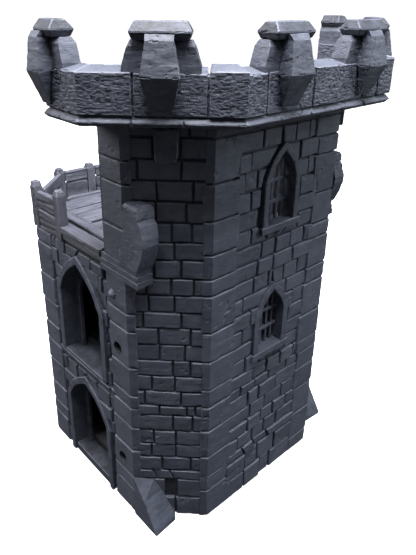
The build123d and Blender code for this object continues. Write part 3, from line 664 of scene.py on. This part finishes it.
# ----------------------------------------------------------------- the brick courses
def brick_row(heap, index, z0, z1, joints, reach, holes, row, slant=0.0, half=None, shift=0.0):
    """One course of bricks on a face between the corner stones, shift mm out of it.

    joints are measured from the face's left corner, reach is how far the corner stones come,
    and slant leans the upright joints apart."""
    half = half or half_width(index)
    relief = 1.0 if index % 2 == 0 else 0.6
    inner = [j - half for j in joints if reach + 1.0 < j < 2 * half - reach - 1.0]
    ends = [-half + reach] + sorted(inner) + [half - reach]
    gap = BRICK_GAP
    for k, (a, b) in enumerate(zip(ends[:-1], ends[1:])):
        if b - a < 1.6:
            continue
        seed = row * 31 + k * 7 + index * 101
        r = [lattice(np.int64(seed), np.int64(n), np.int64(7), 5) for n in range(8)]
        lean = slant if 0 < k else 0.0
        lean_b = slant if k < len(ends) - 2 else 0.0
        low_z = z0 + gap + 0.25 * (r[0] - 0.5)
        high_z = z1 - gap + 0.3 * (r[1] - 0.5)
        quad = [[a + gap + lean, low_z], [b - gap + lean_b, low_z + 0.3 * (r[2] - 0.5)],
                [b - gap - lean_b, high_z], [a + gap - lean, high_z + 0.3 * (r[3] - 0.5)]]
        if (index, row, k) == MISSING_BRICK:
            continue
        proud = -0.75 + relief * (r[4] - 0.5)
        tilt = (0.6 * relief * (r[5] - 0.5), 0.8 * relief * (r[6] - 0.3))
        for piece in clip_to_holes(quad, holes):
            width = 0.5 * (piece[1][0] + piece[2][0] - piece[0][0] - piece[3][0])
            if width < 1.2:
                continue
            sunk = 0.7 * r[7] if index == 6 and width < 6.5 else 0.0
            stone(heap, quad_place(index, piece, shift), max(width, 1.5),
                  max(high_z - low_z, 1.5), proud - sunk, tilt, seed)


def clip_to_holes(quad, holes):
    """Cuts a brick back from arch openings, sloping its cut side to follow them."""
    pieces = [quad]
    for rows in holes:
        kept = []
        for q in pieces:
            low = max(width_at(rows, q[0][1]), width_at(rows, q[1][1]))
            high = max(width_at(rows, q[3][1]), width_at(rows, q[2][1]))
            if low < 0 and high < 0:
                kept.append(q)
                continue
            low, high = max(low, 0.0), max(high, 0.0)
            left = [list(c) for c in q]
            right = [list(c) for c in q]
            left[1][0] = min(left[1][0], -low)
            left[2][0] = min(left[2][0], -high)
            right[0][0] = max(right[0][0], low)
            right[3][0] = max(right[3][0], high)
            for side in (left, right):
                if side[1][0] - side[0][0] > 0.6 or side[2][0] - side[3][0] > 0.6:
                    side[1][0] = max(side[1][0], side[0][0] + 0.2)
                    side[2][0] = max(side[2][0], side[3][0] + 0.2)
                    side[0][0] = min(side[0][0], side[1][0] - 0.2)
                    side[3][0] = min(side[3][0], side[2][0] - 0.2)
                    kept.append(side)
        pieces = kept
    return pieces


# For each face: its joints, whether they are mirrored, and how many courses they shift.
FACE_ROWS = {
    0: (FRONT_JOINTS, False, 0), 7: (CHAMFER_JOINTS, False, 0), 1: (CHAMFER_JOINTS, True, 0),
    6: (FACADE_JOINTS, False, 0), 2: (FRONT_JOINTS, True, 5), 4: (FRONT_JOINTS, False, 3),
    5: (CHAMFER_JOINTS, False, 4), 3: (CHAMFER_JOINTS, True, 9),
}
# How far the corner stones reach across each face.
REACH = {0: 12.6, 7: 2.8, 1: 2.8, 6: 12.4, 2: 12.6, 4: 12.6, 5: 2.8, 3: 2.8}
HOLES = {6: ARCHES, 0: WINDOWS}


def courses(heap, index, low, high):
    """All brick rows of one face between two heights."""
    table, flipped, shift = FACE_ROWS[index]
    width = 2 * half_width(index)
    for row, (z0, z1) in enumerate(zip(COURSES[:-1], COURSES[1:])):
        a, b = max(z0, low), min(z1, high)
        if b - a < 2.2:
            continue
        joints = table[(row + shift) % len(table)]
        if flipped:
            joints = [width - j for j in joints]
        slant = 1.0 if row == 2 else 0.0
        brick_row(heap, index, a, b, joints, REACH[index], HOLES.get(index, ()), row, slant)


def core(node, heap):
    """The CAD wall with its plain bricks pressed flat into the mortar plane."""
    data = NODES[node].data
    co = vertices(data) / MM
    for index in range(8):
        centre, _, normal = face_frame(index)
        out = (co[:, :2] - centre) @ normal
        shift = np.where(out > MORTAR, MORTAR - out, 0.0)
        co[:, :2] += shift[:, None] * normal
    bm = bmesh.new()
    bm.from_mesh(data)
    bm.verts.ensure_lookup_table()
    for v, p in zip(bm.verts, co):
        v.co = Vector(p * MM)
    bmesh.ops.remove_doubles(bm, verts=bm.verts, dist=2e-6)
    bmesh.ops.dissolve_degenerate(bm, dist=2e-6, edges=bm.edges)
    bm.verts.ensure_lookup_table()
    bm.verts.index_update()
    points = np.array([v.co[:] for v in bm.verts]) / MM
    loops = [[v.index for v in f.verts] for f in bm.faces]
    bm.free()
    # The mortar plane gets the darkest tone, a painted shade in the joints.
    heap.add(points, loops, np.zeros(len(points)))


def back_courses(heap):
    """Brick rows on the half tower's flat back, which looks the same way as face 4."""
    for row, (z0, z1) in enumerate(zip(COURSES[:-1], COURSES[1:])):
        if z0 < TOWER_LOW:
            continue
        joints = [12.0 * n + 6.0 * (row % 2) + 2.5 * math.sin(1.9 * n + row) for n in range(1, 10)]
        brick_row(heap, 4, max(z0, BACK_LOW), z1, joints, 0.4, (), row, half=BACK_HALF,
                  shift=BACK_LIFT - HALF - CUT_X)


def wall(node, name, spans):
    """A storey's wall: its core and the brick courses, spans giving (face, low, high)."""
    heap = Heap()
    core(node, heap)
    for index, low, high in spans:
        courses(heap, index, low, high)
    if node == "half_tower_walls":
        back_courses(heap)
    return finish_object(heap.mesh(name), name, (node,), STONE)


TOWER_FACES = (7, 0, 1)
wall("ground_storey_walls", "ground_storey_stonework", [(i, 0.0, GROUND_TOP) for i in range(8)])
wall("upper_storey_walls", "upper_storey_stonework",
     [(i, GROUND_TOP, TOWER_LOW if i in TOWER_FACES else STOREY_2) for i in range(8)])
wall("half_tower_walls", "half_tower_stonework", [(i, TOWER_LOW, TOWER_TOP) for i in TOWER_FACES])


# -------------------------------------------------------------------- corner stones
# For each column: the corner it stands on, its pattern of joints and its top.
COLUMNS = {
    "quoins_facade_right": (7, 2, TOWER_TOP), "quoins_front_left": (0, 0, TOWER_TOP),
    "quoins_front_right": (1, 1, TOWER_TOP), "quoins_rear_right": (2, 2, TOWER_TOP),
    "quoins_rear_left": (3, 3, STOREY_2), "quoins_annex_rear": (4, 1, STOREY_2),
    "quoins_annex_front": (5, 0, STOREY_2), "quoins_facade_left": (6, 3, STOREY_2),
}
# Reach of the right-hand corner stones across the window face, from the bottom up.
RIGHT_REACH = (14, 14.5, 14, 15, 14, 15.5, 16, 15, 14, 14, 16, 13.5, 15, 14, 16, 14.5)


def quoin_column(corner, table, top):
    """A column of corner stones, each bevelled and a little different."""
    heap = Heap()
    levels = QUOIN_STONES[table]
    for k, (z0, z1) in enumerate(zip(levels[:-1], levels[1:])):
        if z0 >= top - 1:
            break
        z1 = min(z1, top)
        r = [lattice(np.int64(corner * 57 + k), np.int64(n), np.int64(3), 9) for n in range(6)]
        main = RIGHT_REACH[k] if corner == 1 else 14.6 - 1.2 * r[0]
        side = 4.3 - 0.9 * r[1]
        reach = (main, side) if (corner - 1) % 2 == 0 else (side, main)
        place, share, total = wrap_place(corner, *reach, z0 + QUOIN_GAP, z1 - QUOIN_GAP)
        left = spaced(reach[0], 1.2, QUOIN_BEVEL)[:-1] * share
        right = share + spaced(reach[1], 1.2, QUOIN_BEVEL)[1:] * (1 - share)
        columns = np.concatenate((left, [share], right))
        # Their edges are paler, from rubbing and painted highlight.
        stone(heap, place, total, z1 - z0 - 2 * QUOIN_GAP, -0.10 - 0.45 * r[2],
              (0.25 * (r[3] - 0.5), 0.3 * (r[4] - 0.5)), corner * 13 + k,
              columns=columns, bevel=QUOIN_BEVEL, edge_wear_and_highlight=0.16)
    return heap


def bored(data, spots, radius, depth):
    """The mesh with round blind holes cut into it, along +Y from the facade."""
    bm = bmesh.new()
    for x, z in spots:
        turn = Matrix.Rotation(math.pi / 2, 4, "X")
        move = Matrix.Translation((x * MM, (-HALF - 1.0 + depth / 2) * MM, z * MM))
        bmesh.ops.create_cone(bm, cap_ends=True, segments=40, radius1=radius * MM,
                              radius2=radius * MM, depth=depth * MM, matrix=move @ turn)
    drill_data = bpy.data.meshes.new("drill")
    bm.to_mesh(drill_data)
    bm.free()
    drill = bpy.data.objects.new("drill", drill_data)
    work = bpy.data.objects.new("work", data)
    for o in (drill, work):
        bpy.context.scene.collection.objects.link(o)
    cut = work.modifiers.new("holes", "BOOLEAN")
    cut.operation = "DIFFERENCE"
    cut.solver = "EXACT"
    cut.object = drill
    graph = bpy.context.evaluated_depsgraph_get()
    done = bpy.data.meshes.new_from_object(work.evaluated_get(graph))
    for o in (drill, work):
        bpy.data.objects.remove(o)
    co = vertices(done) / MM
    wear_and_painted_light = np.zeros(len(co), np.float32)
    done.attributes["wear_and_painted_light"].data.foreach_get("value", wear_and_painted_light)
    # Inside the sockets the tone drops to the darkest, a painted shade in the holes.
    for x, z in spots:
        inside = np.hypot(co[:, 0] - x, co[:, 2] - z) < radius + 0.05
        wear_and_painted_light[inside & (co[:, 1] > -HALF + 0.2)] = 0.0
    done.attributes["wear_and_painted_light"].data.foreach_set("value", wear_and_painted_light)
    return done


def stud(heap, index, u, z, radius, height, seed):
    """A small broken knob standing out of a face."""
    rings = 6
    around = 14
    points = []
    for k in range(rings + 1):
        share = k / rings
        r = radius * math.cos(0.5 * math.pi * share) ** 0.7 if k < rings else 0.02
        for n in range(around):
            turn = 2 * math.pi * n / around
            points.append((u + r * math.cos(turn), z + r * math.sin(turn), height * share))
    points = np.array(points)
    points[:, :2] += 0.16 * radius * np.stack(
        (noise(points * 1.7 + seed, 3), noise(points * 1.7 + seed, 8)), axis=1)
    loops = [[k * around + n, k * around + (n + 1) % around,
              (k + 1) * around + (n + 1) % around, (k + 1) * around + n]
             for k in range(rings) for n in range(around)]
    loops.append([rings * around + n for n in range(around)])
    loops.append(list(range(around - 1, -1, -1)))
    spots = on_face(index, points[:, 0], points[:, 1], points[:, 2] - 0.6)
    heap.add(spots, loops, np.full(len(spots), 0.55))


for node, (corner, table, top) in COLUMNS.items():
    name = node + "_carved"
    data = quoin_column(corner, table, top).mesh(name)
    if node == "quoins_facade_right":
        data = bored(data, SOCKETS, SOCKET_RADIUS, SOCKET_DEPTH)
    finish_object(data, name, (node,), STONE)
knob = Heap()
stud(knob, 6, *STUD_PLACE, STUD_RADIUS, STUD_HEIGHT, 4)
finish_object(knob.mesh("broken_stud"), "broken_stud", (), STONE)

# ------------------------------------------------------------------------ the crown
# The crown's pale bevels come from rubbing and painted highlight, and its relief is painted paler
# on raised parts and darker in hollows, a painted highlight and shade.
for n, node in enumerate(("parapet_front_left", "parapet_front_right", "parapet_front",
                          "parapet_facade", "parapet_rear")):
    dressed(node, 0.16, "chisel", 3 + n, cell=0.52, bevel=0.40, material=STONE, edge_wear_and_highlight=0.34)
for n, node in enumerate(("merlon_facade", "merlon_front_left", "merlon_front_a",
                          "merlon_front_b", "merlon_front_right", "merlon_rear")):
    dressed(node, 0.14, "soft", 13 + n, cell=0.7, bevel=0.40, material=STONE)
# The caps take a lower tone, a painted shade, and paler bevels from rubbing and painted highlight.
dressed("merlon_caps", 0.10, "soft", 23, cell=0.6, bevel=0.32, material=STONE, edge_wear_and_highlight=0.24,
        base=PAINTED_SHADE_TONE)
dressed("merlon_braces", 0.16, "soft", 29, cell=0.7, bevel=0.45, material=STONE)
dressed("crown_moulding", 0.08, "soft", 31, cell=0.9, bevel=0.25, material=STONE)
dressed("crown_brackets", 0.16, "soft", 33, cell=0.7, material=STONE)
dressed("crown_slab", 0.05, "soft", 35, cell=2.0, material=STONE)
dressed("crown_funnel", 0.05, "soft", 37, cell=2.2, material=INNER_PAINTED_SHADE)

# ------------------------------------------------------------ ledges, stubs and feet
for n, node in enumerate(("ledge_facade", "ledge_rear", "wall_stub_facade", "wall_stub_rear",
                          "wedge_foot_facade", "wedge_foot_rear")):
    dressed(node, 0.10, "soft", 41 + n, cell=0.75, material=STONE)

# ------------------------------------------------------------------ arches, windows
for n, node in enumerate(("lower_arch_frame", "upper_arch_frame", "lower_window_frame",
                          "upper_window_frame", "entrance_step", "upper_arch_sill")):
    # The step and sill take a lower tone, a painted shade inside the arches.
    shaded = node in ("entrance_step", "upper_arch_sill")
    dressed(node, 0.12, "soft", 53 + n, cell=0.85, bevel=0.3, material=STONE,
            base=PAINTED_SHADE_TONE if shaded else BASE_WEAR)
for n, node in enumerate(("lower_window_lattice", "upper_window_lattice")):
    dressed(node, 0.05, "soft", 63 + n, cell=0.6, bevel=0.2, material=STONE)

# ------------------------------------------------------------- deck, fence and floor
DIAGONAL = math.sqrt(0.5)
for n, (node, way, wood) in enumerate((
        ("deck_boards", (0, 1, 0), WOOD_Y), ("edge_planks_facade", (1, 0, 0), WOOD_X),
        ("edge_planks_rear", (1, 0, 0), WOOD_X), ("fence_posts", (0, 0, 1), WOOD_X),
        ("fence_boards_facade", (1, 0, 0), WOOD_X),
        ("fence_boards_chamfer", (DIAGONAL, -DIAGONAL, 0), WOOD_N),
        ("fence_boards_annex", (0, 1, 0), WOOD_Y), ("fence_boards_rear", (1, 0, 0), WOOD_X),
        ("upper_room_floorboards", (1, 0, 0), FLOORBOARDS_PAINTED_SHADE))):
    # On the deck and the upper room's floorboards the upright sides are painted darker, a painted
    # shade in the gaps; pale bevels come from rubbing and painted highlight.
    flat = node in ("deck_boards", "upper_room_floorboards")
    dressed(node, 0.20, "wood", 71 + n, 1.3 if flat else 1.0, way=way,
            material=wood, edge_wear_and_highlight=0.06 if flat else 0.14, sides=BASE_WEAR if flat else 0.0)

# These inside parts take the darker inner material, a painted shade.
for node in ("ground_slab", "upper_room_joist_floor", "upper_room_back_wall", "tower_ramp",
             "chute_ramp", "exit_ramp", "roof_slab"):
    NODES[node].data.materials.clear()
    NODES[node].data.materials.append(INNER_PAINTED_SHADE)

# ------------------------------------------------------ floor, light, camera, in metres
FLOOR_REACH = 6.0
FLOOR_DROP = -0.0002          # just under the tower's base
FLOOR_GLOW = 0.96
DOME_RADIUS = 6.5
DOME_GLOW = 1.0
LIGHT_AIM = (0, 0, 0.11)      # about the middle of the tower
# For each light: direction it comes from, distance, size, power and colour. The overhead
# light stands near the crown, which is much the brightest part.
LIGHTS = {
    "overhead": ((0.20, -0.09, 1.0), 0.52, 0.32, 14.8, (0.97, 0.97, 1.0)),
    "right_back": ((0.75, 0.85, 0.55), 1.3, 0.8, 14.0, (0.88, 0.94, 1.0)),
    "left_back": ((-0.75, -0.75, 0.75), 1.3, 0.8, 22.0, (1.0, 0.97, 0.98)),
    "front_fill": ((1.0, -0.3, 0.25), 1.6, 1.2, 1.4, (0.80, 0.90, 1.0)),
}
WORLD_GLOW = 0.12
# The camera stands in front of the chamfer face, a little above the crown.
CAMERA_PLACE = (0.19480, -0.16725, 0.22759)
CAMERA_RIGHT = (0.66631, 0.74561, 0.00954)
CAMERA_DOWN = (0.29442, -0.2513, -0.92205)
CAMERA_AHEAD = (-0.68509, 0.61718, -0.38696)
CAMERA_LENS = 34.96           # in millimetres
CAMERA_SHIFT = (0.0251, -0.0870)


def paper(name, glow):
    """Pale paper that also glows a little, so it stays even and bright."""
    m = bpy.data.materials.new(name)
    m.use_nodes = True
    shader = m.node_tree.nodes["Principled BSDF"]
    shader.inputs["Base Color"].default_value = (0.80, 0.80, 0.81, 1)
    shader.inputs["Roughness"].default_value = 0.95
    shader.inputs["Specular IOR Level"].default_value = 0.0
    shader.inputs["Emission Color"].default_value = (1.0, 1.0, 1.0, 1)
    shader.inputs["Emission Strength"].default_value = glow
    return m


def backdrop(name, bm, glow, height):
    """A staged background object that only the camera sees."""
    data = bpy.data.meshes.new(name)
    bm.to_mesh(data)
    bm.free()
    o = bpy.data.objects.new(name, data)
    o.location = (0, 0, height)
    bpy.context.scene.collection.objects.link(o)
    data.materials.append(paper(name, glow))
    o.visible_diffuse = False
    o.visible_glossy = False
    return o


bm = bmesh.new()
bmesh.ops.create_grid(bm, x_segments=8, y_segments=8, size=FLOOR_REACH)
backdrop("studio_floor", bm, FLOOR_GLOW, FLOOR_DROP)
bm = bmesh.new()
bmesh.ops.create_uvsphere(bm, u_segments=48, v_segments=24, radius=DOME_RADIUS)
dome = backdrop("studio_dome", bm, DOME_GLOW, 0.0)
dome.visible_shadow = False


def area_light(name, direction, distance, size, power, colour):
    """A square soft light that looks at the middle of the tower."""
    data = bpy.data.lights.new(name, "AREA")
    data.size = size
    data.energy = power
    data.color = colour
    light = bpy.data.objects.new(name, data)
    aim = Vector(LIGHT_AIM)
    way = Vector(direction).normalized()
    light.location = aim + way * distance
    light.rotation_mode = "QUATERNION"
    light.rotation_quaternion = (-way).to_track_quat("-Z", "Y")
    bpy.context.scene.collection.objects.link(light)


for name, values in LIGHTS.items():
    area_light(name, *values)

world = bpy.data.worlds.new("studio")
world.use_nodes = True
world.node_tree.nodes["Background"].inputs[0].default_value = (0.95, 0.97, 1.0, 1)
world.node_tree.nodes["Background"].inputs[1].default_value = WORLD_GLOW
bpy.context.scene.world = world
bpy.context.scene.view_settings.view_transform = "Standard"

camera = bpy.data.cameras.new("camera")
camera.sensor_fit = "AUTO"
camera.sensor_width = 36.0
camera.lens = CAMERA_LENS
camera.shift_x, camera.shift_y = CAMERA_SHIFT
eye = bpy.data.objects.new("camera", camera)
axes = Vector(CAMERA_RIGHT), -Vector(CAMERA_DOWN), -Vector(CAMERA_AHEAD)
turn = Matrix(axes).transposed()
eye.matrix_world = Matrix.Translation(CAMERA_PLACE) @ turn.to_4x4()
camera.clip_start = 0.01
bpy.context.scene.collection.objects.link(eye)
bpy.context.scene.camera = eye
